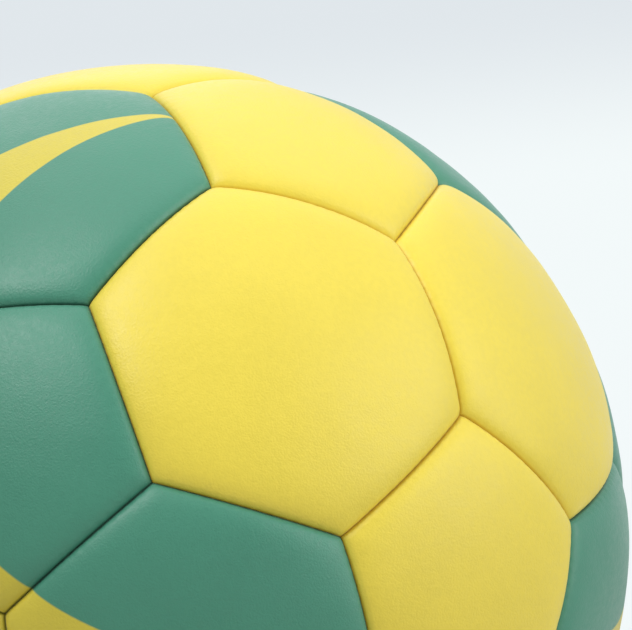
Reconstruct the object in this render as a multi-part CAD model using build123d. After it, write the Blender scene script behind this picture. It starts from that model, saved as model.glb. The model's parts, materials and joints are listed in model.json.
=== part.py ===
from build123d import *

import os
from itertools import combinations
from math import asin, atan, atan2, cos, degrees, pi, sin, sqrt, tan

# A handball: 32 stitched panels over foam, cloth and an air bladder with its valve.
# The origin is the middle of the ball. +Z leaves through the valve, in the middle of the top hexagon.
# The seam between the two front hexagons lies on the plane X = 0, on the side of -Y.
# Lengths are in millimetres.

# Ball
CIRCUMFERENCE = 550.0  # girth over the crowns of the panels

# Cover panel
SKIN = 1.3  # coated cloth of a panel and of its turned-in edge
SEAM_GAP = 0.2  # between the turned-in edges of two neighbours
EDGE_ROLL = 2.4  # radius on which a panel turns in to its seam
SEAM_ALLOWANCE = 1.2  # turned-in edge below the line of stitches

# Layers glued under the skin
GLUE_LINE = 0.15
FOAM = 1.8
LINING = 0.8

# Stitching
STITCHES_PER_SEAM = 14
THREAD = 0.8  # width of the thread along the turned-in edge
CROSS_THREAD = 0.5  # thickness of the thread drawn through a stitch hole
STITCH_DEPTH = 0.6  # line of stitches below the rolled edge
STITCH_CLEARANCE = 0.1  # round the thread
SEAM_END = 0.4  # between the threads of two seams that meet at a corner

# Bladder
BLADDER_WALL = 1.2
BLADDER_CLEARANCE = 0.15

# Valve
NEEDLE_HOLE = 2.0  # guide hole for a pump needle
NEEDLE_DEPTH = 6.0
SEAL_LENGTH = 6.0  # plug below the guide hole, which closes behind the needle
PLUG_WALL = 1.0
COLLAR_LIP = 0.6  # collar of the plug beyond its shank
COLLAR = 1.2  # height of the collar
PLUG_FIT = 0.05  # round the plug in its socket
STEM_WALL = 0.9
VALVE_RECESS = 0.5  # top of the valve below the crown of its panel
VALVE_CLEARANCE = 0.15  # round the stem
FLANGE_RIM = 8.0  # flange of the valve body beyond its stem
FLANGE = 1.4  # thickness of that flange
SOCKET_FLOOR = 1.5
AIR_HOLE = 1.6

# Patches on the bladder
VALVE_PATCH = 36.0  # diameter
BALANCE_PATCH = 40.0  # diameter
PATCH_CLEARANCE = 0.2

OVERRUN = 1.0  # how far a cut runs past what it cuts

# Angles of the panel layout, all from the truncated icosahedron
GOLDEN = (1 + sqrt(5)) / 2
EDGE_SHARE = 4 / sqrt(58 + 18 * sqrt(5))  # length of a seam over the radius of the seam corners
SEAM_HALF_ANGLE = asin(EDGE_SHARE / 2)


def side_lean(sides):
    """Angle, seen from the middle of the ball, between a panel's axis and the middle of its side."""
    corner_share = EDGE_SHARE / (2 * sin(pi / sides))
    return atan(corner_share * cos(pi / sides) / sqrt(1 - corner_share**2))


PENTAGON = 5
HEXAGON = 6

# Radii of the layers
crown = CIRCUMFERENCE / (2 * pi)
skin_inside = crown - SKIN
foam_outside = skin_inside - GLUE_LINE
foam_inside = foam_outside - FOAM
lining_outside = foam_inside - GLUE_LINE
lining_inside = lining_outside - LINING
stitch_line = crown - EDGE_ROLL - STITCH_DEPTH
edge_inside = stitch_line - SEAM_ALLOWANCE
bladder_outside = min(edge_inside, lining_inside) - BLADDER_CLEARANCE
bladder_inside = bladder_outside - BLADDER_WALL

# Distances in from the middle plane of a seam
edge_face = SEAM_GAP / 2
edge_back = edge_face + SKIN
rail_face = edge_back + STITCH_CLEARANCE
rail_back = rail_face + THREAD / 2
inside_roll = EDGE_ROLL - SKIN
pad_side = max(rail_back + STITCH_CLEARANCE, edge_back + inside_roll)

# Distances along a seam
rail_end = rail_back * tan(pi / PENTAGON) + SEAM_END
rail_half_angle = SEAM_HALF_ANGLE - rail_end / stitch_line
last_stitch_angle = rail_half_angle - THREAD / stitch_line

# Valve, along +Z
plug_radius = NEEDLE_HOLE / 2 + PLUG_WALL
collar_radius = plug_radius + COLLAR_LIP
stem_radius = collar_radius + PLUG_FIT + STEM_WALL
stem_hole = stem_radius + VALVE_CLEARANCE
flange_radius = stem_radius + FLANGE_RIM
flange_outside = bladder_inside - GLUE_LINE
flange_inside = flange_outside - FLANGE
valve_top = crown - VALVE_RECESS
plug_length = max(NEEDLE_DEPTH + SEAL_LENGTH, COLLAR + SEAL_LENGTH)
socket_bottom = valve_top - plug_length - PLUG_FIT
valve_bottom = min(socket_bottom, flange_inside) - SOCKET_FLOOR


def ball(radius):
    """Ball about the middle, turned so that its poles and its seam lie away from +Z."""
    return Rot(0, 90, 0) * Sphere(radius)


def rod(radius, bottom, top):
    """Round rod along the Z axis."""
    return Pos(0, 0, (bottom + top) / 2) * Cylinder(radius, top - bottom)


def first_side(sides):
    """Direction of a panel's first side about its axis: hexagons start at a side, pentagons at a corner."""
    return pi / sides if sides == PENTAGON else 0


def seam_pyramid(sides, inset):
    """Pyramid inside a panel's seam planes, each moved in by the inset, with its tip on the axis."""
    lean = side_lean(sides)
    tip = inset / sin(lean)
    top = crown + OVERRUN
    reach = (top - tip) * tan(lean) / cos(pi / sides)
    turns = [first_side(sides) + pi * (2 * k + 1) / sides for k in range(sides)]
    corners = [(reach * cos(turn), reach * sin(turn), top) for turn in turns]
    outlines = [(corners[k - 1], corners[k], (0, 0, tip)) for k in range(sides)]
    outlines.append(corners)
    return Solid(Shell([Face(Wire.make_polygon(outline)) for outline in outlines]))


def rolled(sides, inset, radius, roll):
    """Spherical pyramid with its upper edges rolled over."""
    block = seam_pyramid(sides, inset) & ball(radius)
    if roll <= 0:
        return block
    rim = block.edges().filter_by(GeomType.CIRCLE)
    return fillet(rim, roll)


def seam_planes(sides):
    """Middle plane of each side of a panel: X along the seam, Y into the panel, Z to its middle."""
    lean = side_lean(sides)
    planes = []
    for k in range(sides):
        turn = first_side(sides) + 2 * pi * k / sides
        outward = (sin(lean) * cos(turn), sin(lean) * sin(turn), cos(lean))
        planes.append(Plane(origin=(0, 0, 0), x_dir=(-sin(turn), cos(turn), 0), z_dir=outward))
    return planes


def stitches(thickness, length):
    """Row of bars across a seam, one for each stitch."""
    bar = Rot(90, 0, 0) * Cylinder(thickness / 2, length)
    step = 2 * last_stitch_angle / (STITCHES_PER_SEAM - 1)
    angles = [k * step - last_stitch_angle for k in range(STITCHES_PER_SEAM)]
    return [Pos(stitch_line * sin(a), 0, stitch_line * cos(a)) * bar for a in angles]


def cover_panel(sides):
    """Skin with a rolled edge that turns in to the seam, where the stitch holes pass through it."""
    block = rolled(sides, edge_face, crown, EDGE_ROLL)
    core = rolled(sides, edge_back, skin_inside, inside_roll)
    skin = block - core - ball(edge_inside)
    bars = stitches(CROSS_THREAD + 2 * STITCH_CLEARANCE, 2 * (edge_back + OVERRUN))
    holes = [plane.location * bar for plane in seam_planes(sides) for bar in bars]
    return skin - holes


def pad(sides, outside, inside):
    """Layer under a panel's skin, clear of the thread along its sides."""
    return (seam_pyramid(sides, pad_side) & ball(outside)) - ball(inside)


def seam_thread():
    """Two rails, drawn flat against the turned-in edges and joined by the stitches of one seam."""
    section = Rectangle(rail_back - rail_face, THREAD, align=(Align.MIN, Align.CENTER))
    section = Plane.YZ * Pos(rail_face, stitch_line) * section
    rail = revolve(section, Axis.Y, degrees(2 * rail_half_angle))
    rail = Rot(0, -degrees(rail_half_angle), 0) * rail
    return rail + Rot(0, 0, 180) * rail + stitches(CROSS_THREAD, rail_face + rail_back)


def layout():
    """Directions of the pentagons and of the hexagons, with each hexagon's three pentagons."""
    upright = Plane(origin=(0, 0, 0), x_dir=(1 / GOLDEN, -GOLDEN, 1), z_dir=(1, 1, 1))
    points = []
    for a in (-1, 1):
        for b in (-GOLDEN, GOLDEN):
            points += [(0, a, b), (a, b, 0), (b, 0, a)]
    pentagons = [upright.to_local_coords(Vector(*point)).normalized() for point in points]
    hexagons = []
    for trio in combinations(pentagons, 3):
        if all(p.dot(q) > 0 for p, q in combinations(trio, 2)):
            hexagons.append(((trio[0] + trio[1] + trio[2]).normalized(), trio))
    return pentagons, hexagons


def ring_order(axis):
    """Sorts from the top down, and round each ring from the front by way of +X."""
    digits = 3
    around = round(degrees(atan2(axis.X, -axis.Y)), digits) % 360
    height = round(axis.Z, digits)
    return -height, around


def named(places, shape, rings):
    """Gives each place its name, ring by ring from the top down."""
    names = []
    for ring, count in rings:
        if count == 1:
            names.append(f"{shape}_{ring}")
        else:
            names += [f"{shape}_{ring}_{k + 1}" for k in range(count)]
    ordered = sorted(places, key=lambda place: ring_order(place.z_dir))
    return dict(zip(names, ordered))


def save(name, solids):
    """Writes one node, a single solid or a group of separate solids."""
    export_step(solids[0] if len(solids) == 1 else Compound(solids), f"parts/{name}.step")


def placed(shape, places):
    return [shape.moved(place.location) for place in places]


# Places of the panels: Z along the panel's axis, X towards the nearest pentagon
pentagons, hexagons = layout()
pentagon_places = []
for axis in pentagons:
    nearest = next(other for other in pentagons if other is not axis and other.dot(axis) > 0)
    pentagon_places.append(Plane(origin=(0, 0, 0), x_dir=nearest, z_dir=axis))
hexagon_places = [Plane(origin=(0, 0, 0), x_dir=trio[0], z_dir=axis) for axis, trio in hexagons]

PENTAGON_RINGS = (("upper", 3), ("mid_upper", 3), ("mid_lower", 3), ("lower", 3))
HEXAGON_RINGS = (("top", 1), ("upper", 3), ("mid_upper", 6), ("mid_lower", 6), ("lower", 3), ("bottom", 1))
pentagon_names = named(pentagon_places, "pentagon", PENTAGON_RINGS)
hexagon_names = named(hexagon_places, "hexagon", HEXAGON_RINGS)

# Places of the seams: X along the seam, Z to its middle
pentagon_seams = []
for axis, trio in hexagons:
    for corner in trio:
        middle = corner * sin(side_lean(HEXAGON)) + axis * sin(side_lean(PENTAGON))
        pentagon_seams.append(Plane(origin=(0, 0, 0), x_dir=corner.cross(axis), z_dir=middle))
hexagon_seams = []
for one, other in combinations(pentagons, 2):
    if one.dot(other) > 0:
        hexagon_seams.append(Plane(origin=(0, 0, 0), x_dir=one - other, z_dir=one + other))

os.makedirs("parts", exist_ok=True)

# Cover panels, with the valve's hole in the top one
cover_hole = rod(stem_hole, bladder_inside - OVERRUN, crown + OVERRUN)
pentagon_panel = cover_panel(PENTAGON)
hexagon_panel = cover_panel(HEXAGON)
for name, place in pentagon_names.items():
    save(name, placed(pentagon_panel, [place]))
for name, place in hexagon_names.items():
    panel = hexagon_panel.moved(place.location)
    save(name, [panel - cover_hole if name == "hexagon_top" else panel])

# Foam pads and cloth linings, with room for the valve and for the patches on the bladder
ends = (hexagon_names["hexagon_top"], hexagon_names["hexagon_bottom"])
plain_places = [place for place in hexagon_places if place not in ends]
hexagon_foam = pad(HEXAGON, foam_outside, foam_inside)
hexagon_lining = pad(HEXAGON, lining_outside, lining_inside)
top_foam, bottom_foam = placed(hexagon_foam, ends)
top_lining, bottom_lining = placed(hexagon_lining, ends)
top_room = rod(VALVE_PATCH / 2 + PATCH_CLEARANCE, 0, crown)
bottom_room = rod(BALANCE_PATCH / 2 + PATCH_CLEARANCE, -crown, 0)
save("hexagon_foam_pads", placed(hexagon_foam, plain_places) + [top_foam - cover_hole, bottom_foam])
save(
    "hexagon_cloth_linings",
    placed(hexagon_lining, plain_places) + [top_lining - top_room, bottom_lining - bottom_room],
)
save("pentagon_foam_pads", placed(pad(PENTAGON, foam_outside, foam_inside), pentagon_places))
save("pentagon_cloth_linings", placed(pad(PENTAGON, lining_outside, lining_inside), pentagon_places))

# Seam threads
thread = seam_thread()
save("pentagon_seam_threads", placed(thread, pentagon_seams))
save("hexagon_seam_threads", placed(thread, hexagon_seams))

# Patches, in the layer of the linings
patch_layer = ball(lining_outside) - ball(lining_inside)
save("valve_patch", [(patch_layer & rod(VALVE_PATCH / 2, 0, crown)) - cover_hole])
bottom_layer = Rot(180, 0, 0) * patch_layer
save("balance_patch", [bottom_layer & rod(BALANCE_PATCH / 2, -crown, 0)])

# Bladder
save("bladder", [ball(bladder_outside) - ball(bladder_inside) - cover_hole])

# Valve body: stem, flange against the inside of the bladder, and socket for the plug
flange_layer = ball(flange_outside) - ball(flange_inside)
flange = flange_layer & rod(flange_radius, 0, crown)
socket = rod(plug_radius + PLUG_FIT, socket_bottom, valve_top + OVERRUN)
collar_seat = rod(collar_radius + PLUG_FIT, valve_top - COLLAR - PLUG_FIT, valve_top + OVERRUN)
air_hole = rod(AIR_HOLE / 2, valve_bottom - OVERRUN, valve_top)
valve_body = rod(stem_radius, valve_bottom, valve_top) + flange - socket - collar_seat - air_hole
save("valve_body", [valve_body])

# Valve plug with the needle's guide hole
shank = rod(plug_radius, valve_top - plug_length, valve_top)
collar = rod(collar_radius, valve_top - COLLAR, valve_top)
guide = rod(NEEDLE_HOLE / 2, valve_top - NEEDLE_DEPTH, valve_top + OVERRUN)
save("valve_plug", [shank + collar - guide])
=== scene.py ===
import json
import math

import bpy
import numpy as np
from bpy.props import FloatProperty, FloatVectorProperty, IntProperty, PointerProperty
from mathutils import Matrix, Vector


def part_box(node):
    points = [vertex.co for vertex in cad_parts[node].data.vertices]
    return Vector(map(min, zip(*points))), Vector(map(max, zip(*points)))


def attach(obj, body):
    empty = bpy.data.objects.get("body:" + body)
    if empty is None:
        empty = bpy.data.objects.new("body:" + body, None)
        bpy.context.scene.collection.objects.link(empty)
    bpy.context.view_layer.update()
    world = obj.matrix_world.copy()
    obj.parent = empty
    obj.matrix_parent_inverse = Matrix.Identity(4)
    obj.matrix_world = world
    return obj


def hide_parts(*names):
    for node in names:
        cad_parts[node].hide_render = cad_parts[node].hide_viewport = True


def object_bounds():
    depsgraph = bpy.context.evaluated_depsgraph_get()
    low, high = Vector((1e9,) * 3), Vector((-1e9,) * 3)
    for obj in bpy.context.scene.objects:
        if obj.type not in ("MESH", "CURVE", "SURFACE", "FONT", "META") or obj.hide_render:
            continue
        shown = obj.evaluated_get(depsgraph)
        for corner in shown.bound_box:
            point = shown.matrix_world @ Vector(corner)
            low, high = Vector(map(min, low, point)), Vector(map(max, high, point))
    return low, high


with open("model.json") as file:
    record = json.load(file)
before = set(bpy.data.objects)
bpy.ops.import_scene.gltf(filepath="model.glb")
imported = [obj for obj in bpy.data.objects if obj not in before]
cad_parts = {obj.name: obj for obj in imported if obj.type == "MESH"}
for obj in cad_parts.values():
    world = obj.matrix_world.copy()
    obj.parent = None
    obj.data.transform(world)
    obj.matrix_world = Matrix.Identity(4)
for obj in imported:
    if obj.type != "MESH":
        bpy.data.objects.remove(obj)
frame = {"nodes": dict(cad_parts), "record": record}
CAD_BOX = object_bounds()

bl_info = {
    "name": "Stitched handball",
    "version": (1, 0, 0),
    "blender": (4, 5, 0),
    "location": "View3D > Sidebar > Handball",
    "description": "Puffy stitched panels, printed crescents, valve and studio stage for a handball",
    "category": "Add Mesh",
}

MM = 0.001
CROWN = -CAD_BOX[0].z  # the bottom panel's crown is the lowest point of the ball
SLOTS = {part["node"]: part["material_slot"] for part in frame["record"]["subparts"]}
VALVE_PANEL = "hexagon_top"

FRAME_WIDTH_PX = 632
FRAME_HEIGHT_PX = 630

GOLDEN = (1 + math.sqrt(5)) / 2
EDGE_SHARE = 4 / math.sqrt(58 + 18 * math.sqrt(5))  # seam length over the radius of the seam corners
SEAM_HALF_ANGLE = math.asin(EDGE_SHARE / 2)

SEED = 7
COLUMNS_PER_SIDE = 96
OPEN_ROWS = 20
ROLL_ROWS = 12
SWELL_WAVES = 9
FLOOR_SIDES = 64
FLOOR_REACH = 60 * CROWN

SWELL_SHARES = (0.6, 1.4)  # of the mean wave number, between which the waves of a swell vary
WALL_SHARES = (0.25, 0.6, 1.0)  # of the way down a seam's wall
BACK_SHARES = (1.0, 1.0, 1.5)  # of the skin, behind the turned-in edge from its foot upwards
UNDER_SHARES = (0.7, 0.35, 0.0)  # of the way from the valve's hole, or the middle, to the edge below
HOLE_SHARES = (0.75, 0.3, 0.08)  # of the skin, up the wall of the valve's hole
UNDERCUT_SHARE = 0.25  # of the roll's depth, by which the skin hangs lower beside its edge

NOISE_SPAN = (0.3, 0.7)  # where most of a noise's values lie


class CoverSizes(bpy.types.PropertyGroup):
    """Sizes of the cover panels and of what is printed on them."""

    roll_width: FloatProperty(
        name="Roll width", description="Breadth of the rolled edge along a seam",
        default=1.2 * MM, unit="LENGTH",
    )
    roll_depth: FloatProperty(
        name="Roll depth", description="Drop of the rolled edge to the seam",
        default=0.45 * MM, unit="LENGTH",
    )
    roll_end: FloatProperty(
        name="Roll end", description="How far a rolled edge turns before it meets its neighbour",
        default=math.radians(63), subtype="ANGLE",
    )
    pillow_depth: FloatProperty(
        name="Pillow depth", description="Gentle fall of a panel towards its seams",
        default=1.45 * MM, unit="LENGTH",
    )
    pillow_reach: FloatProperty(
        name="Pillow reach", description="Distance over which that fall fades",
        default=1.9 * MM, unit="LENGTH",
    )
    corner_sink: FloatProperty(
        name="Corner sink", description="Extra drop where three seams meet",
        default=0.95 * MM, unit="LENGTH",
    )
    corner_reach: FloatProperty(
        name="Corner reach", description="Distance over which that drop fades",
        default=17.7 * MM, unit="LENGTH",
    )
    seam_gap: FloatProperty(
        name="Seam gap", description="Half the gap between two panels",
        default=0.01 * MM, unit="LENGTH",
    )
    scallop: FloatProperty(
        name="Scallop", description="How far a stitch draws the edge back",
        default=0.012 * MM, unit="LENGTH",
    )
    skin: FloatProperty(
        name="Skin", description="Thickness of the cover",
        default=1.3 * MM, unit="LENGTH",
    )
    turned_in: FloatProperty(
        name="Turned-in edge", description="Depth of the edge below the crown",
        default=4.2 * MM, unit="LENGTH",
    )
    stitches: IntProperty(name="Stitches", description="Stitches along one seam", default=14)
    stitch_margin: FloatProperty(
        name="Stitch margin", description="First stitch from the seam's corner",
        default=2.6 * MM, unit="LENGTH",
    )
    stitch_variety: FloatProperty(
        name="Stitch variety", description="Share by which some stitches pull more and some less",
        default=0.6, subtype="FACTOR",
    )
    pucker_depth: FloatProperty(
        name="Pucker depth", description="Dip of the edge at a stitch",
        default=0.05 * MM, unit="LENGTH",
    )
    pucker_reach: FloatProperty(
        name="Pucker reach", description="Distance over which a pucker fades",
        default=1.1 * MM, unit="LENGTH",
    )
    swell: FloatProperty(
        name="Swell", description="Slow unevenness of the panels",
        default=0.10 * MM, unit="LENGTH",
    )
    swell_length: FloatProperty(
        name="Swell length", description="Wavelength of that unevenness",
        default=22 * MM, unit="LENGTH",
    )
    ripple_share: FloatProperty(
        name="Ripple share", description="Finer unevenness as a share of the slow one",
        default=0.35, subtype="FACTOR",
    )
    ripple_length: FloatProperty(
        name="Ripple length", description="Wavelength of the finer unevenness",
        default=8 * MM, unit="LENGTH",
    )
    valve_hole: FloatProperty(
        name="Valve hole", description="Radius of the hole in the top panel",
        default=3.7 * MM, unit="LENGTH",
    )
    inner_middle: FloatProperty(
        name="Inner circle middle", description="Side offset of a crescent's inner circle",
        default=26.6 * MM, unit="LENGTH",
    )
    inner_radius: FloatProperty(
        name="Inner circle radius", description="Radius of that circle",
        default=52.8 * MM, unit="LENGTH",
    )
    outer_middle: FloatProperty(
        name="Outer circle middle", description="Side offset of a crescent's outer circle",
        default=39.4 * MM, unit="LENGTH",
    )
    outer_radius: FloatProperty(
        name="Outer circle radius", description="Radius of that circle",
        default=55.8 * MM, unit="LENGTH",
    )
    shortening: FloatProperty(
        name="Shortening", description="Growth of the inner circle where a crescent is shorter",
        default=3.4 * MM, unit="LENGTH",
    )


class Finishes(bpy.types.PropertyGroup):
    """Colours of the materials."""

    yellow: FloatVectorProperty(
        name="Yellow", description="Yellow of the cover",
        default=(0.868, 0.70, 0.073), subtype="COLOR",
    )
    # Painted shade: the yellow is multiplied by this tint close to a seam, darkening the crevice between
    # panels.
    yellow_seam_shade: FloatVectorProperty(
        name="Yellow seam shade", description="Tint of the yellow at a seam",
        default=(0.80, 0.68, 0.50), subtype="COLOR",
    )
    printed: FloatVectorProperty(
        name="Print", description="Yellow printed on the green panels",
        default=(0.67, 0.56, 0.054), subtype="COLOR",
    )
    green: FloatVectorProperty(
        name="Green", description="Green of the cover",
        default=(0.057, 0.258, 0.168), subtype="COLOR",
    )
    # Painted shade: the green is multiplied by this tint close to a seam, darkening the crevice between
    # panels.
    green_seam_shade: FloatVectorProperty(
        name="Green seam shade", description="Tint of the green at a seam",
        default=(0.36, 0.39, 0.37), subtype="COLOR",
    )
    thread: FloatVectorProperty(
        name="Thread", description="Waxed thread",
        default=(0.55, 0.50, 0.36), subtype="COLOR",
    )
    foam: FloatVectorProperty(
        name="Foam", description="Foam pads",
        default=(0.70, 0.69, 0.64), subtype="COLOR",
    )
    cloth: FloatVectorProperty(
        name="Cloth", description="Cloth linings",
        default=(0.62, 0.58, 0.50), subtype="COLOR",
    )
    rubber: FloatVectorProperty(
        name="Rubber", description="Bladder, patches and valve body",
        default=(0.02, 0.02, 0.021), subtype="COLOR",
    )
    plug: FloatVectorProperty(
        name="Plug", description="Valve plug",
        default=(0.45, 0.42, 0.36), subtype="COLOR",
    )


class StageSettings(bpy.types.PropertyGroup):
    """Camera, lamps and backdrop. A lamp's place is to the camera's right, towards the camera and up."""

    azimuth: FloatProperty(
        name="Azimuth", description="Camera round the ball",
        default=math.radians(-42.82), subtype="ANGLE",
    )
    elevation: FloatProperty(
        name="Elevation", description="Camera above the ball's middle",
        default=math.radians(-4.14), subtype="ANGLE",
    )
    roll: FloatProperty(
        name="Roll", description="Camera about its own axis",
        default=math.radians(-5.69), subtype="ANGLE",
    )
    depth: FloatProperty(
        name="Depth", description="Ball's middle in front of the camera",
        default=1.037, unit="LENGTH",
    )
    lens: FloatProperty(name="Lens", description="Focal length", default=318.4, unit="CAMERA")
    middle_px: FloatVectorProperty(
        name="Middle", description="Pixel of the ball's middle in the picture",
        default=(156.9, 535.8), size=2,
    )
    top_light: FloatProperty(
        name="Top light", description="Power of the softbox above",
        default=4.1, unit="POWER",
    )
    top_place: FloatVectorProperty(
        name="Top place", description="Place of the softbox above",
        default=(0.1420, 0.0064, 1.0145), subtype="TRANSLATION", unit="LENGTH",
    )
    top_side: FloatProperty(
        name="Top side", description="Side of the softbox above",
        default=1.2, unit="LENGTH",
    )
    front_light: FloatProperty(
        name="Front light", description="Power of the softbox over the camera",
        default=7.3, unit="POWER",
    )
    front_place: FloatVectorProperty(
        name="Front place", description="Place of the softbox over the camera",
        default=(-0.4, 0.66, 0.9), subtype="TRANSLATION", unit="LENGTH",
    )
    front_side: FloatProperty(
        name="Front side", description="Side of the softbox over the camera",
        default=0.6, unit="LENGTH",
    )
    right_light: FloatProperty(
        name="Right light", description="Power of the softbox on the right",
        default=8.0, unit="POWER",
    )
    right_place: FloatVectorProperty(
        name="Right place", description="Place of the softbox on the right",
        default=(1.1, 0.4, 0.4), subtype="TRANSLATION", unit="LENGTH",
    )
    right_side: FloatProperty(
        name="Right side", description="Side of the softbox on the right",
        default=1.0, unit="LENGTH",
    )
    back_light: FloatProperty(
        name="Back light", description="Power of the softbox behind",
        default=1.5, unit="POWER",
    )
    back_place: FloatVectorProperty(
        name="Back place", description="Place of the softbox behind",
        default=(-0.2, -0.9, 0.8), subtype="TRANSLATION", unit="LENGTH",
    )
    back_side: FloatProperty(
        name="Back side", description="Side of the softbox behind",
        default=0.8, unit="LENGTH",
    )
    room_light: FloatProperty(
        name="Room light", description="Strength of the even room light", default=0.28,
    )
    backdrop_low: FloatVectorProperty(
        name="Backdrop low", description="Backdrop at the horizon",
        default=(0.895, 0.95, 0.955), subtype="COLOR",
    )
    backdrop_high: FloatVectorProperty(
        name="Backdrop high", description="Backdrop above",
        default=(0.75, 0.80, 0.835), subtype="COLOR",
    )
    grade_start: FloatProperty(
        name="Grade start", description="Sine of the height at which the backdrop starts to change",
        default=0.091,
    )
    grade_end: FloatProperty(
        name="Grade end", description="Sine of the height at which it has its upper colour",
        default=0.125,
    )
    floor: FloatVectorProperty(
        name="Floor", description="Pale floor as the camera and reflections see it",
        default=(0.84, 0.85, 0.86), subtype="COLOR",
    )
    floor_bounce: FloatVectorProperty(
        name="Floor bounce", description="Floor as it lights the ball",
        default=(0.48, 0.48, 0.48), subtype="COLOR",
    )


class HandballSettings(bpy.types.PropertyGroup):
    """All that the panel in the sidebar shows."""

    cover: PointerProperty(type=CoverSizes)
    finishes: PointerProperty(type=Finishes)
    stage: PointerProperty(type=StageSettings)


def unit(v):
    """Vectors divided by their length."""
    return v / np.linalg.norm(v, axis=-1, keepdims=True)


def column(values):
    """Values one below the other, to be spread over the columns of a grid."""
    return np.array(values)[:, None]


def side_lean(sides):
    """Angle at the ball's middle between a panel's axis and the middle of its side.

    Its tangent is the flat panel's inner radius over the panel's distance from the ball's middle.
    """
    corner = EDGE_SHARE / (2 * math.sin(math.pi / sides))
    return math.atan(corner * math.cos(math.pi / sides) / math.sqrt(1 - corner**2))


def panel_axes():
    """Directions of the 12 pentagons and 20 hexagons of a truncated icosahedron, with a hexagon on +Z.

    The pentagons are the corners of an icosahedron: (0, 1, golden ratio) in all signs and cyclic orders.
    A hexagon is the mean of three pentagons that are each other's neighbours.
    """
    signs = np.array([(a, b * GOLDEN) for a in (-1, 1) for b in (-1, 1)])
    zero = np.zeros(len(signs))
    a, b = signs.T
    points = np.concatenate([np.c_[zero, a, b], np.c_[a, b, zero], np.c_[b, zero, a]])
    z = unit(np.ones(3))
    x = unit(np.array([1 / GOLDEN, -GOLDEN, 1]))
    pentagons = unit(points) @ np.array([x, np.cross(z, x), z]).T
    near = pentagons @ pentagons.T > 0
    i, j, k = np.meshgrid(*[np.arange(len(points))] * 3, indexing="ij")
    trios = (i < j) & (j < k) & near[i, j] & near[j, k] & near[i, k]
    hexagons = unit(pentagons[i[trios]] + pentagons[j[trios]] + pentagons[k[trios]])
    return pentagons, hexagons


def panel_turn(axis, pentagons, sides):
    """Rows X, Y and Z of a panel's own axes: Z outwards and X to the middle of one of its sides.

    The nearest other pentagon lies across a hexagon's side, but across a corner of a pentagon, which turns
    by half a side.
    """
    nearest = pentagons[np.argsort(-(pentagons @ axis))[int(sides == 5)]]
    x = unit(nearest - axis * (nearest @ axis))
    y = np.cross(axis, x)
    if sides == 5:
        half = math.pi / sides
        x, y = x * math.cos(half) + y * math.sin(half), y * math.cos(half) - x * math.sin(half)
    return np.array([x, y, axis])


def seam_columns(sides):
    """Each column's turn about the panel's axis, angle along the seam and turn from its side's middle.

    The columns step evenly along each seam: at the angle s along it the turn is atan(tan s / sin lean).
    """
    along = (np.arange(COLUMNS_PER_SIDE) / COLUMNS_PER_SIDE * 2 - 1) * SEAM_HALF_ANGLE
    from_middle = np.arctan2(np.sin(along), np.cos(along) * math.sin(side_lean(sides)))
    side = np.repeat(np.arange(sides), COLUMNS_PER_SIDE)
    turn = np.tile(from_middle, sides) + side * 2 * math.pi / sides
    return turn, np.tile(along, sides), np.tile(from_middle, sides)


def tilt_at(inset, radius, from_middle, lean):
    """Angle from the panel's axis at which a column lies the inset away from its seam's plane.

    It is the tilt of the seam itself less the arc sine of the inset over the radius and the column's swing.
    """
    across = math.cos(lean) * np.cos(from_middle)
    swing = np.hypot(across, math.sin(lean))
    return np.arctan2(math.sin(lean), across) - np.arcsin(inset / (radius * swing))


def spread(tilts, turn, radii):
    """Points at tilts from the panel's axis, turns about it and radii, by spherical coordinates."""
    out = np.stack([np.sin(tilts) * np.cos(turn), np.sin(tilts) * np.sin(turn), np.cos(tilts)], -1)
    return out * np.asarray(radii)[..., None]


def nearest_seams(tilts, turn, sides):
    """Distances of points on the round ball from their two nearest seams, the nearer one first.

    The sine of a distance is sin(lean) cos(tilt) - cos(lean) sin(tilt) cos(turn from that side's middle).
    """
    lean = side_lean(sides)
    side_turns = np.arange(sides) * 2 * math.pi / sides
    away = math.sin(lean) * np.cos(tilts)[..., None]
    away = away - math.cos(lean) * np.sin(tilts)[..., None] * np.cos(turn[:, None] - side_turns)
    return np.sort(CROWN * np.arcsin(away), axis=-1)[..., :2]


def slow_swell(points, rng, wavelength):
    """Sum of plane waves of about one wavelength in random directions, between about -1 and 1."""
    directions = unit(rng.normal(size=(SWELL_WAVES, 3))) * (2 * math.pi / wavelength)
    directions *= rng.uniform(*SWELL_SHARES, (SWELL_WAVES, 1))
    phases = rng.uniform(0, 2 * math.pi, SWELL_WAVES)
    return np.sin(points @ directions.T + phases).sum(-1) / math.sqrt(SWELL_WAVES) / 2


def uneven(count, step, variety, rng):
    """Factor about 1 along a run of columns: random values every few columns, joined by straight lines."""
    knots = rng.uniform(1 - variety, 1 + variety, count // step + 1)
    return np.interp(np.arange(count) / step, np.arange(len(knots)), knots)


def stitch_pull(along, sizes):
    """1 at each stitch and 0 halfway between two, by a raised cosine, and 0 past the last stitch."""
    last = SEAM_HALF_ANGLE - sizes.stitch_margin / CROWN
    pitch = 2 * last / (sizes.stitches - 1)
    wave = 0.5 + 0.5 * np.cos(2 * math.pi * (along + last) / pitch)
    return wave * np.clip((last + pitch / 2 - np.abs(along)) / (pitch / 4), 0, 1)


def edge_drop(distance, sizes):
    """Fall of the surface at a distance from the seam.

    It is part of an ellipse over the rolled edge, plus a pillow that fades as an exponential.
    """
    inside = np.clip(1 - distance / sizes.roll_width, 0, 1) * math.sin(sizes.roll_end)
    roll = sizes.roll_depth * (1 - np.sqrt(1 - inside**2)) / (1 - math.cos(sizes.roll_end))
    return roll + sizes.pillow_depth * np.exp(-np.maximum(distance, 0) / sizes.pillow_reach)


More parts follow.
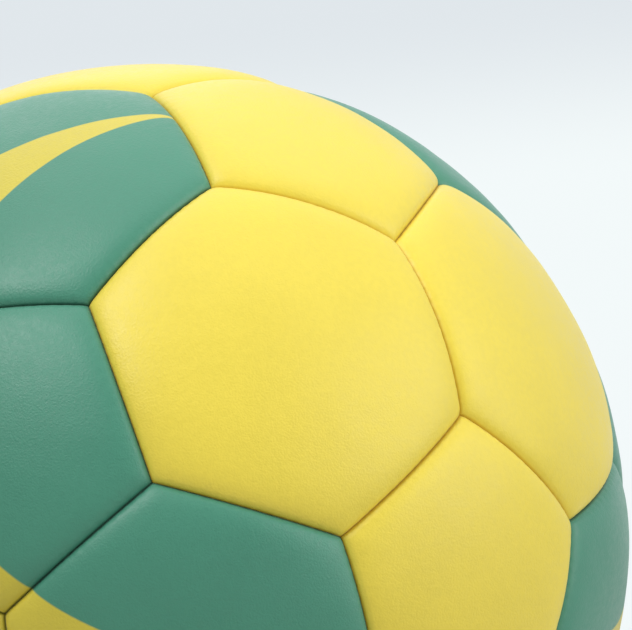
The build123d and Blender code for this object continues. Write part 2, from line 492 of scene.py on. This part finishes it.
def corner_drop(near, far, sizes):
    """Extra fall towards the meeting of two seams, which fades as a square with the distance from it.

    For seams that lie an angle apart, the square of that distance is near squared plus far squared plus
    2 near far cos(angle), over the square of sin(angle).
    """
    apart = math.radians(120)
    squares = near**2 + far**2 + 2 * near * far * math.cos(apart)
    corner = np.sqrt(np.maximum(squares, 0)) / math.sin(apart)
    return sizes.corner_sink * np.maximum(1 - corner / sizes.corner_reach, 0) ** 2


def outer_drop(insets, gap, pull, sizes):
    """Fall of the outside below the crown at the two nearest seams, at a corner and at the stitches.

    The two seams' drops are joined as a cube root of summed cubes, and a pucker fades as an exponential.
    """
    drops = edge_drop(insets - gap[:, None], sizes)
    corner = corner_drop(insets[..., 0], insets[..., 1], sizes)
    fade = np.exp(-np.maximum(insets[..., 0] - gap, 0) / sizes.pucker_reach)
    return np.cbrt((drops**3).sum(-1)) + corner + sizes.pucker_depth * pull * fade


def outer_tilts(gap, from_middle, lean, hole, sizes):
    """Angle from the panel's axis of each outer row, from the middle or the valve's hole to the seam.

    The open rows draw together as 1 - (1 - u)**2, and the rolled edge's rows step evenly in its turn.
    """
    rim = hole / CROWN
    shares = 1 - (1 - np.linspace(0, 1, OPEN_ROWS)) ** 2
    shares = shares if hole else shares[1:]
    edge_tilt = tilt_at(gap + sizes.roll_width, CROWN, from_middle, lean)
    open_tilts = rim + shares[:, None] * (edge_tilt - rim)
    bends = np.linspace(0, sizes.roll_end, ROLL_ROWS)[1:, None]
    insets = gap + sizes.roll_width * (1 - np.sin(bends) / math.sin(sizes.roll_end))
    return np.concatenate([open_tilts, tilt_at(insets, CROWN, from_middle, lean)])


def hidden_rows(lip, gap, turn, from_middle, lean, hole, sizes):
    """Rows out of sight, at set shares of each way.

    They go down the seam's wall, up behind the turned-in edge, in below the skin and, on the panel that
    has it, up the valve's hole.
    """
    rim = hole / CROWN
    foot = CROWN - sizes.turned_in
    under = CROWN - sizes.skin - sizes.roll_depth * UNDERCUT_SHARE
    back = gap + sizes.skin
    wall_radii = lip + (foot - lip) * column(WALL_SHARES)
    wall = spread(tilt_at(gap, wall_radii, from_middle, lean), turn, wall_radii)
    back_radii = column((foot, under - sizes.skin / 2, under)) * np.ones_like(turn)
    behind = spread(tilt_at(back * column(BACK_SHARES), back_radii, from_middle, lean), turn, back_radii)
    last_tilt = tilt_at(back * BACK_SHARES[-1], under, from_middle, lean)
    below_tilts = rim + (last_tilt - rim) * column(UNDER_SHARES if hole else UNDER_SHARES[:-1])
    rows = [wall, behind, spread(below_tilts, turn, CROWN - sizes.skin)]
    if hole:
        radii = CROWN - sizes.skin * column(HOLE_SHARES) * np.ones_like(turn)
        rows.append(spread(np.full(radii.shape, rim), turn, radii))
    return rows


def panel_surface(sides, turned, hole, sizes, rng):
    """Skin of one panel as rows of points, and how far each point lies from its seam.

    The rows run from the middle over the edge, down the seam and back below. A row's tilt runs from the
    axis, or from the valve's hole, to the seam. The radius is the crown less the drop, with a slow swell
    that calms down towards the seam.
    """
    lean = side_lean(sides)
    turn, along, from_middle = seam_columns(sides)
    stitch_step = COLUMNS_PER_SIDE // sizes.stitches
    pull = stitch_pull(along, sizes) * uneven(len(along), stitch_step, sizes.stitch_variety, rng)
    gap = sizes.seam_gap + sizes.scallop * pull
    tilts = outer_tilts(gap, from_middle, lean, hole, sizes)
    insets = nearest_seams(tilts, turn, sides)
    seam = np.maximum(insets[..., 0] - gap, 0)
    calm = 1 - np.exp(-seam / sizes.pillow_reach)
    level = spread(tilts, turn, CROWN) @ turned
    swell = slow_swell(level, rng, sizes.swell_length)
    swell = swell + sizes.ripple_share * slow_swell(level, rng, sizes.ripple_length)
    radii = CROWN - outer_drop(insets, gap, pull, sizes) + sizes.swell * swell * calm
    outside = spread(tilts, turn, radii)
    points = np.concatenate([outside, *hidden_rows(radii[-1], gap, turn, from_middle, lean, hole, sizes)])
    seams = np.zeros(points.shape[:2])
    seams[: len(outside)] = seam
    return points, seams


def ring_faces(rows, columns, closed):
    """Quads between neighbouring rows of a grid whose columns run right round, and whose rows may too."""
    grid = np.arange(rows * columns).reshape(rows, columns)
    low = grid if closed else grid[:-1]
    high = np.roll(grid, -1, axis=0) if closed else grid[1:]
    corners = [low, high, np.roll(high, -1, axis=1), np.roll(low, -1, axis=1)]
    return np.stack(corners, -1).reshape(-1, 4)


def fan_faces(row, pole, outward):
    """Triangles between a row and the point at its middle."""
    ahead = np.roll(row, -1)
    poles = np.full_like(row, pole)
    return np.stack([poles, row, ahead] if outward else [poles, ahead, row], -1)


def closed_panel(points, seams, hole, sizes):
    """Points, seam distances, quads and triangles of a closed panel.

    With a hole the last row joins the first. Without one a point above and a point below close the middle.
    """
    rows, columns = seams.shape
    quads = ring_faces(rows, columns, closed=bool(hole))
    points = points.reshape(-1, 3)
    seams = seams.ravel()
    if hole:
        return points, seams, quads, np.zeros((0, 3), int)
    count = len(points)
    first = np.arange(columns)
    last = first + (rows - 1) * columns
    top_pole = (0, 0, np.linalg.norm(points[first], axis=1).mean())
    low_pole = (0, 0, CROWN - sizes.skin)
    triangles = np.concatenate([fan_faces(first, count, True), fan_faces(last, count + 1, False)])
    points = np.concatenate([points, [top_pole, low_pole]])
    return points, np.concatenate([seams, [CROWN, 0]]), quads, triangles


def crescent_depth(points, sizes):
    """How far inside a printed crescent a point of the round ball lies, negative outside.

    Seen along the axis of the front seam, each side of the ball has a crescent outside the inner circle and
    inside the outer one, and the print is the same above and below and on the back. On the upper right the
    inner circle is larger, with the same outermost point, so that the crescent ends sooner.
    """
    rise = side_lean(6)
    up = np.array([0, math.sin(rise), math.cos(rise)])
    side = np.abs(points[..., 0])
    height = points @ up
    grown = np.where((points[..., 0] > 0) & (height > 0), sizes.shortening, 0)
    inner = np.hypot(side - sizes.inner_middle + grown, height) - sizes.inner_radius - grown
    outer = sizes.outer_radius - np.hypot(side - sizes.outer_middle, height)
    return np.minimum(inner, outer)


def mesh_object(name, points, quads, triangles, material, values):
    """Mesh object from arrays of points, quads, triangles and named values at the points."""
    mesh = bpy.data.meshes.new(name)
    mesh.vertices.add(len(points))
    mesh.vertices.foreach_set("co", np.ascontiguousarray(points, dtype=np.float32).ravel())
    loops = np.concatenate([quads.ravel(), triangles.ravel()]).astype(np.int32)
    sizes = np.concatenate([np.full(len(quads), 4), np.full(len(triangles), 3)])
    starts = np.concatenate([[0], np.cumsum(sizes)[:-1]]).astype(np.int32)
    mesh.loops.add(len(loops))
    mesh.loops.foreach_set("vertex_index", loops)
    mesh.polygons.add(len(sizes))
    mesh.polygons.foreach_set("loop_start", starts)
    mesh.update(calc_edges=True)
    mesh.validate()
    mesh.shade_smooth()
    for key, value in values.items():
        layer = mesh.attributes.new(key, "FLOAT", "POINT")
        layer.data.foreach_set("value", np.ascontiguousarray(value, dtype=np.float32).ravel())
    mesh.materials.append(material)
    piece = bpy.data.objects.new(name, mesh)
    bpy.context.collection.objects.link(piece)
    return piece


def panel_sides(node):
    """Sides of the panel that a CAD node's name tells of."""
    return 5 if node.startswith("pentagon") else 6


def build_panel(node, axis, pentagons, sizes, materials, rng):
    """Cover panel that stands for one CAD node, with its print and its seam distance in millimetres."""
    sides = panel_sides(node)
    turned = panel_turn(axis, pentagons, sides)
    hole = sizes.valve_hole if node == VALVE_PANEL else 0
    points, seams = panel_surface(sides, turned, hole, sizes, rng)
    points, seams, quads, triangles = closed_panel(points, seams, hole, sizes)
    placed = points @ turned
    values = {"print": crescent_depth(unit(placed) * CROWN, sizes) / MM, "seam": seams / MM}
    slot = SLOTS[node]
    piece = mesh_object(f"skin_{node}", placed, quads, triangles, materials[slot], values)
    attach(piece, "ball")
    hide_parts(node)


class Nodes:
    """Short way to add and link shader nodes in one material."""

    def __init__(self, tree):
        self.tree = tree
        tree.nodes.clear()

    def add(self, kind, inputs=None, **settings):
        """New node with its settings, and with values or links at its inputs."""
        node = self.tree.nodes.new(kind)
        for key, value in settings.items():
            setattr(node, key, value)
        for key, value in (inputs or {}).items():
            self.set(node.inputs[key], value)
        return node

    def set(self, socket, value):
        """Links a socket to the value if that is a socket too, and otherwise gives it the value."""
        if isinstance(value, bpy.types.NodeSocket):
            self.tree.links.new(value, socket)
        else:
            socket.default_value = value

    def math(self, operation, a, b):
        """Sum, product or other operation on two values."""
        return self.add("ShaderNodeMath", {0: a, 1: b}, operation=operation).outputs[0]

    def span(self, value, low, high, to_low=0.0, to_high=1.0):
        """Smooth step of a value from one range to another."""
        inputs = {"Value": value, "From Min": low, "From Max": high, "To Min": to_low, "To Max": to_high}
        return self.add("ShaderNodeMapRange", inputs, interpolation_type="SMOOTHSTEP").outputs["Result"]

    def mix(self, share, a, b, blend="MIX"):
        """Colour between two colours, or their product."""
        node = self.add("ShaderNodeMix", data_type="RGBA", blend_type=blend)
        self.set(node.inputs["Factor"], share)
        self.set(node.inputs["A"], a)
        self.set(node.inputs["B"], b)
        return node.outputs["Result"]

    def noise(self, vector, scale, detail=2.0, roughness=0.5):
        """Noise with so many features a metre."""
        inputs = {"Vector": vector, "Scale": scale, "Detail": detail, "Roughness": roughness}
        return self.add("ShaderNodeTexNoise", inputs).outputs["Fac"]

    def value(self, name):
        """Value that the mesh holds at its points."""
        return self.add("ShaderNodeAttribute", attribute_name=name).outputs["Fac"]

    def place(self):
        """Place on the piece, in metres on the ball's own axes."""
        return self.add("ShaderNodeTexCoord").outputs["Object"]

    def bump(self, height, strength, distance):
        """Normal of a surface that a height raises by up to a distance."""
        inputs = {"Height": height, "Strength": strength, "Distance": distance}
        return self.add("ShaderNodeBump", inputs).outputs["Normal"]

    def finish(self, inputs):
        """Surface with the given inputs of the Principled shader."""
        shader = self.add("ShaderNodeBsdfPrincipled", inputs)
        out = self.add("ShaderNodeOutputMaterial")
        self.tree.links.new(shader.outputs[0], out.inputs["Surface"])


def new_material(name):
    """Empty material and its shader nodes."""
    material = bpy.data.materials.new(name)
    material.use_nodes = True
    return material, Nodes(material.node_tree)


def rgba(colour):
    """Colour with a full alpha."""
    return (*colour, 1.0)


def darker(colour, share):
    """Colour times a share."""
    return tuple(c * share for c in colour)


def cover_material(name, dye, print_dye, seam_shade_tint):
    """Soft matt coated cloth.

    The dye turns into the print's where the value print is above 0, takes a painted shade close to a seam,
    which darkens the crevice, and varies by slow blotches and fine speckles. The grain's bump is a share of
    the distance in pebble cells plus creases.
    """
    blotch_scale = 45.0
    speckle_scale = 900.0
    pebble_scale = 3000.0
    crease_scale = 2400.0
    print_fade_mm = 0.12
    seam_shade_fade_mm = 0.45
    blotch_depth = 0.02
    speckle_depth = 0.015
    pebble_share = 0.5
    blotch_share = 0.5
    rough_span = (0.5, 1.0)
    roughness = (0.36, 0.48)
    material, n = new_material(name)
    place = n.place()
    blotch = n.noise(place, blotch_scale, detail=3.0)
    speckle = n.noise(place, speckle_scale)
    dye_and_seam_shade = n.mix(n.span(n.value("print"), -print_fade_mm, print_fade_mm), rgba(dye), rgba(print_dye))
    # Painted shade: within this distance of a seam the colour is multiplied by the seam's tint, darkening
    # the crevice.
    seam_shade_mask = n.span(n.value("seam"), 0.0, seam_shade_fade_mm, 1.0, 0.0)
    dye_and_seam_shade = n.mix(seam_shade_mask, dye_and_seam_shade, rgba(seam_shade_tint), "MULTIPLY")
    blotch_shade = n.span(blotch, *NOISE_SPAN, -blotch_depth, blotch_depth)
    speckle_shade = n.span(speckle, *NOISE_SPAN, -speckle_depth, speckle_depth)
    level = n.math("ADD", n.math("ADD", blotch_shade, speckle_shade), 1.0)
    grey = n.add("ShaderNodeCombineColor", {"Red": level, "Green": level, "Blue": level}).outputs["Color"]
    dye_and_seam_shade = n.mix(1.0, dye_and_seam_shade, grey, "MULTIPLY")
    pebbles = n.add("ShaderNodeTexVoronoi", {"Vector": place, "Scale": pebble_scale}, feature="SMOOTH_F1")
    creases = n.noise(place, crease_scale, detail=3.0, roughness=0.6)
    grain = n.math("ADD", n.math("MULTIPLY", pebbles.outputs["Distance"], pebble_share), creases)
    worn = n.math("ADD", speckle, n.math("MULTIPLY", blotch, blotch_share))
    n.finish({
        "Base Color": dye_and_seam_shade,
        "Roughness": n.span(worn, *rough_span, *roughness),
        "Specular IOR Level": 0.42,
        "Sheen Weight": 0.12,
        "Sheen Roughness": 0.45,
        "Coat Weight": 0.06,
        "Coat Roughness": 0.28,
        "Normal": n.bump(grain, strength=0.48, distance=0.13 * MM),
    })
    return material


def rubber_material(name, colour):
    """Moulded rubber with a dusty bloom, which is paler and rougher, and a fine satin texture."""
    bloom_scale = 160.0
    satin_scale = 1800.0
    bloom_span = (0.35, 0.75)
    bloom_gain = 0.035
    roughness = (0.48, 0.68)
    material, n = new_material(name)
    place = n.place()
    bloom = n.span(n.noise(place, bloom_scale, detail=4.0), *bloom_span)
    pale = tuple(min(1.0, c + bloom_gain) for c in colour)
    n.finish({
        "Base Color": n.mix(bloom, rgba(colour), rgba(pale)),
        "Roughness": n.span(bloom, 0.0, 1.0, *roughness),
        "Normal": n.bump(n.noise(place, satin_scale), strength=0.3, distance=0.1 * MM),
    })
    return material


def foam_material(name, colour):
    """Closed-cell foam: small round cells with darker walls."""
    cell_scale = 1600.0
    wall_span = (0.1, 0.7)
    wall_share = 0.72
    material, n = new_material(name)
    cells = n.add("ShaderNodeTexVoronoi", {"Vector": n.place(), "Scale": cell_scale}).outputs["Distance"]
    n.finish({
        "Base Color": n.mix(n.span(cells, *wall_span), rgba(colour), rgba(darker(colour, wall_share))),
        "Roughness": 0.85,
        "Normal": n.bump(cells, strength=0.4, distance=0.2 * MM),
    })
    return material


def cloth_material(name, colour):
    """Plain weave: the mean of three crossed sets of threads on the ball's own axes, with painted shade in
    the hollows between them.
    """
    thread_scale = 330.0
    mean_share = 0.33
    hollow_shade_share = 0.66
    material, n = new_material(name)
    inputs = {"Vector": n.place(), "Scale": thread_scale, "Distortion": 0.6, "Detail": 1.0}
    x, y, z = (n.add("ShaderNodeTexWave", inputs, bands_direction=axis).outputs["Fac"] for axis in "XYZ")
    weave = n.math("MULTIPLY", n.math("ADD", n.math("ADD", x, y), z), mean_share)
    n.finish({
        # Painted shade: the hollows of the weave, where its bump is low, are darkened.
        "Base Color": n.mix(weave, rgba(darker(colour, hollow_shade_share)), rgba(colour)),
        "Roughness": 0.9,
        "Normal": n.bump(weave, strength=0.5, distance=0.2 * MM),
    })
    return material


def dress_nodes(materials):
    """Gives each CAD node that still shows the material of its slot."""
    for node, slot in SLOTS.items():
        if slot in materials:
            piece = frame["nodes"][node]
            piece.data.materials.clear()
            piece.data.materials.append(materials[slot])


class HANDBALL_OT_cover_panels(bpy.types.Operator):
    """Puffy cover panels with rolled edges, stitch puckers and printed crescents"""

    bl_idname = "handball.cover_panels"
    bl_label = "Cover panels"

    def execute(self, context):
        settings = context.scene.handball
        colours = settings.finishes
        # Each set is the dye, the print's dye and the painted shade at a seam.
        dyes_and_seam_shades = {
            "yellow_cover": (colours.yellow, colours.yellow, colours.yellow_seam_shade),
            "green_cover": (colours.green, colours.printed, colours.green_seam_shade),
        }
        materials = {slot: cover_material(slot, *colour_set) for slot, colour_set in dyes_and_seam_shades.items()}
        pentagons, hexagons = panel_axes()
        rng = np.random.default_rng(SEED)
        for node in sorted(name for name, slot in SLOTS.items() if slot in materials):
            low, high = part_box(node)
            middle = unit(np.array((Vector(low) + Vector(high)) / 2))
            axes = pentagons if panel_sides(node) == 5 else hexagons
            axis = axes[np.argmax(axes @ middle)]
            build_panel(node, axis, pentagons, settings.cover, materials, rng)
        return {"FINISHED"}


class HANDBALL_OT_inner_layers(bpy.types.Operator):
    """Finishes of the foam pads, cloth linings, seam threads, bladder and patches"""

    bl_idname = "handball.inner_layers"
    bl_label = "Inner layers"

    def execute(self, context):
        colours = context.scene.handball.finishes
        dress_nodes({
            "foam": foam_material("foam", colours.foam),
            "lining_cloth": cloth_material("lining_cloth", colours.cloth),
            "thread": cloth_material("thread", colours.thread),
            "bladder_rubber": rubber_material("bladder_rubber", colours.rubber),
            "patch_rubber": rubber_material("patch_rubber", colours.rubber),
        })
        return {"FINISHED"}


class HANDBALL_OT_valve(bpy.types.Operator):
    """Finishes of the valve body and of its plug"""

    bl_idname = "handball.valve"
    bl_label = "Valve"

    def execute(self, context):
        colours = context.scene.handball.finishes
        dress_nodes({
            "valve_rubber": rubber_material("valve_rubber", colours.rubber),
            "plug_rubber": rubber_material("plug_rubber", colours.plug),
        })
        return {"FINISHED"}


def camera_axes(stage):
    """Right, up and back of the camera from its azimuth, elevation and roll, by spherical coordinates."""
    a, e = stage.azimuth, stage.elevation
    back = Vector((math.sin(a) * math.cos(e), -math.cos(a) * math.cos(e), math.sin(e)))
    level = Vector((0, 0, 1)).cross(back).normalized()
    upright = back.cross(level)
    right = level * math.cos(stage.roll) + upright * math.sin(stage.roll)
    return right, back.cross(right), back


def add_camera(stage):
    """Camera whose picture has the ball's middle on the given pixel, with no shift."""
    right, up, back = camera_axes(stage)
    data = bpy.data.cameras.new("camera")
    data.lens = stage.lens
    focal_px = stage.lens / data.sensor_width * FRAME_WIDTH_PX
    across = (stage.middle_px[0] - FRAME_WIDTH_PX / 2) / focal_px * stage.depth
    down = (stage.middle_px[1] - FRAME_HEIGHT_PX / 2) / focal_px * stage.depth
    place = -across * right + down * up + stage.depth * back
    camera = bpy.data.objects.new("camera", data)
    camera.matrix_world = Matrix.Translation(place) @ Matrix((right, up, back)).transposed().to_4x4()
    bpy.context.collection.objects.link(camera)
    bpy.context.scene.camera = camera


def add_softbox(name, stage, offsets, side, power):
    """Square area lamp that faces the ball's middle, offset to the camera's right, towards it and up."""
    right, _, back = camera_axes(stage)
    place = right * offsets[0] + back * offsets[1] + Vector((0, 0, offsets[2]))
    data = bpy.data.lights.new(name, "AREA")
    data.size = side
    data.energy = power
    lamp = bpy.data.objects.new(name, data)
    lamp.location = place
    lamp.rotation_euler = place.to_track_quat("Z", "Y").to_euler()
    bpy.context.collection.objects.link(lamp)


def looked_at(n):
    """1 where the camera, a reflection or a look through glass meets the stage, 0 for bounced light."""
    path = n.add("ShaderNodeLightPath").outputs
    through = n.math("MAXIMUM", path["Is Glossy Ray"], path["Is Transmission Ray"])
    return n.math("MAXIMUM", path["Is Camera Ray"], through)


def add_floor(stage):
    """Round pale floor under the ball, clear from below."""
    material, n = new_material("floor")
    below = n.add("ShaderNodeNewGeometry").outputs["Backfacing"]
    shade = n.mix(looked_at(n), rgba(stage.floor_bounce), rgba(stage.floor))
    pale = n.add("ShaderNodeBsdfDiffuse", {"Color": shade})
    clear = n.add("ShaderNodeBsdfTransparent")
    both = n.add("ShaderNodeMixShader", {0: below, 1: pale.outputs[0], 2: clear.outputs[0]})
    out = n.add("ShaderNodeOutputMaterial")
    material.node_tree.links.new(both.outputs[0], out.inputs["Surface"])
    corners = np.arange(FLOOR_SIDES)
    turns = corners * 2 * math.pi / FLOOR_SIDES
    rim = np.c_[np.cos(turns) * FLOOR_REACH, np.sin(turns) * FLOOR_REACH, np.full(FLOOR_SIDES, -CROWN)]
    points = np.concatenate([rim, [(0, 0, -CROWN)]])
    triangles = fan_faces(corners, FLOOR_SIDES, True)
    floor = mesh_object("floor", points, np.zeros((0, 4), int), triangles, material, {})


def add_room(stage):
    """Even room light, with a pale graded backdrop where the camera or a reflection looks at it."""
    world = bpy.data.worlds.new("room")
    bpy.context.scene.world = world
    world.use_nodes = True
    n = Nodes(world.node_tree)
    direction = n.add("ShaderNodeTexCoord").outputs["Generated"]
    height = n.add("ShaderNodeSeparateXYZ", {0: direction}).outputs["Z"]
    grade = n.span(height, stage.grade_start, stage.grade_end)
    shown = n.mix(grade, rgba(stage.backdrop_low), rgba(stage.backdrop_high))
    light = n.add("ShaderNodeBackground", {"Color": rgba((1.0, 1.0, 1.0)), "Strength": stage.room_light})
    picture = n.add("ShaderNodeBackground", {"Color": shown, "Strength": 1.0})
    both = n.add("ShaderNodeMixShader", {0: looked_at(n), 1: light.outputs[0], 2: picture.outputs[0]})
    out = n.add("ShaderNodeOutputWorld")
    world.node_tree.links.new(both.outputs[0], out.inputs["Surface"])


class HANDBALL_OT_stage(bpy.types.Operator):
    """Floor, backdrop, lamps and the camera"""

    bl_idname = "handball.stage"
    bl_label = "Stage"

    def execute(self, context):
        stage = context.scene.handball.stage
        context.scene.view_settings.view_transform = "Standard"
        add_floor(stage)
        add_room(stage)
        add_softbox("softbox_above", stage, stage.top_place, stage.top_side, stage.top_light)
        add_softbox("softbox_front", stage, stage.front_place, stage.front_side, stage.front_light)
        add_softbox("softbox_side", stage, stage.right_place, stage.right_side, stage.right_light)
        add_softbox("softbox_back", stage, stage.back_place, stage.back_side, stage.back_light)
        add_camera(stage)
        return {"FINISHED"}


class HANDBALL_PT_sidebar(bpy.types.Panel):
    """Lists what builds the ball"""

    bl_label = "Handball"
    bl_space_type = "VIEW_3D"
    bl_region_type = "UI"
    bl_category = "Handball"

    def draw(self, context):
        for operator in OPERATORS:
            self.layout.operator(operator.bl_idname)
        settings = context.scene.handball
        for group in (settings.cover, settings.finishes, settings.stage):
            for key in group.bl_rna.properties.keys():
                if key not in ("rna_type", "name"):
                    self.layout.prop(group, key)


OPERATORS = (HANDBALL_OT_cover_panels, HANDBALL_OT_inner_layers, HANDBALL_OT_valve, HANDBALL_OT_stage)
CLASSES = (CoverSizes, Finishes, StageSettings, HandballSettings, *OPERATORS, HANDBALL_PT_sidebar)


def register():
    """Registers the classes and puts the settings on the scene."""
    for cls in CLASSES:
        bpy.utils.register_class(cls)
    bpy.types.Scene.handball = PointerProperty(type=HandballSettings)


def unregister():
    """Takes the settings and the classes away again."""
    del bpy.types.Scene.handball
    for cls in reversed(CLASSES):
        bpy.utils.unregister_class(cls)


def main():
    """Builds the ball and its stage."""
    register()
    bpy.ops.handball.cover_panels()
    bpy.ops.handball.inner_layers()
    bpy.ops.handball.valve()
    bpy.ops.handball.stage()


if __name__ == "__main__":
    main()
